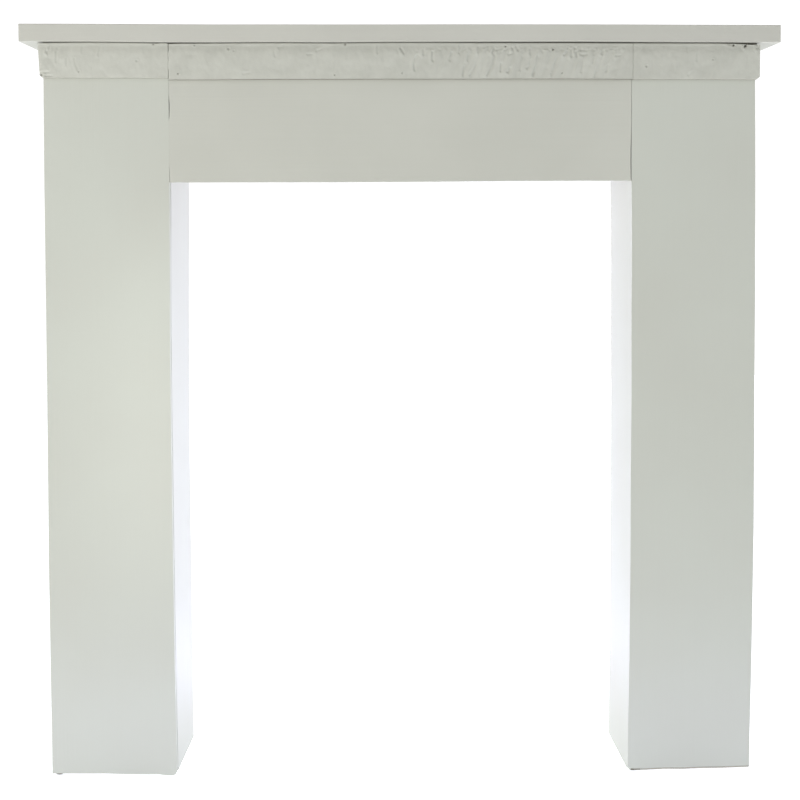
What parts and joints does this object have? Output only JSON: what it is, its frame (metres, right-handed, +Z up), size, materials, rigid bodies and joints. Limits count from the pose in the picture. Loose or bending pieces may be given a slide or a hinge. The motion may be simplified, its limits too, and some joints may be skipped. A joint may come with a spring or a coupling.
{
  "type": "fireplace mantelpiece",
  "caption": "Free-standing painted mantelpiece built of boards: a flat shelf over a low, paint-clogged frieze moulding, a plain header panel and hollow box legs on small glides.",
  "frame": {"origin": "on the floor, at the middle of the whole piece's box", "axes": "+Z up, +Y towards the wall behind it, +X to the right as seen from the room"},
  "size_m": [1.146, 0.27, 1.152],
  "materials": {
    "shelf_paint": "brushed off-white eggshell paint on timber board",
    "frieze_paint": "many thick coats of off-white paint over a worn moulding",
    "header_paint": "brushed off-white eggshell paint on timber board",
    "leg_paint": "brushed off-white eggshell paint outside, bare timber inside",
    "glide_steel": "dulled steel"
  },
  "bodies": {
    "root": {"mantel_shelf": "shelf_paint", "frieze_cap_left": "frieze_paint", "frieze_centre": "frieze_paint", "frieze_cap_right": "frieze_paint", "header_panel": "header_paint", "left_leg_front": "leg_paint", "left_leg_outer_return": "leg_paint", "left_leg_inner_return": "leg_paint", "right_leg_front": "leg_paint", "right_leg_outer_return": "leg_paint", "right_leg_inner_return": "leg_paint", "left_outer_front_glide": "glide_steel", "left_outer_back_glide": "glide_steel", "left_inner_front_glide": "glide_steel", "left_inner_back_glide": "glide_steel", "right_inner_front_glide": "glide_steel", "right_inner_back_glide": "glide_steel", "right_outer_back_glide": "glide_steel"}
  },
  "joints": []
}
